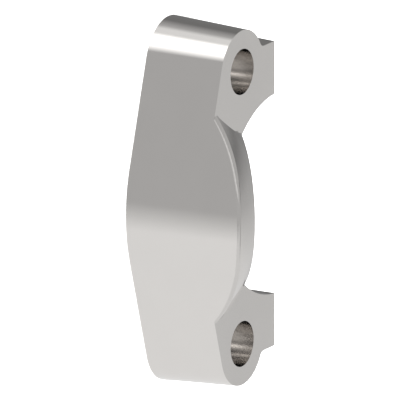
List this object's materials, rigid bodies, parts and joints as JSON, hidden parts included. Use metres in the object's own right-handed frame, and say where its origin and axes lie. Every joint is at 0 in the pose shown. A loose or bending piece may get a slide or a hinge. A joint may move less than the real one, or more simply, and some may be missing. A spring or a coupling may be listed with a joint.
{
  "type": "hydraulic split flange half",
  "caption": "Forged half-ring clamp with bolt lugs and a domed back, for holding the flange head of a hydraulic hose against its port.",
  "frame": {"origin": "on the axis of the flange connection, in the clamping face that the part rests on", "axes": "+Z along the bolts, from the port towards the hose; +X away from the split, through the middle of the back; Y along the line of the bolts"},
  "size_m": [0.0283, 0.07, 0.0237],
  "materials": {
    "steel": "smooth drop-forged and machined steel, bare, with a soft satin shine"
  },
  "bodies": {
    "root": {"flange_half": "steel"}
  },
  "joints": []
}
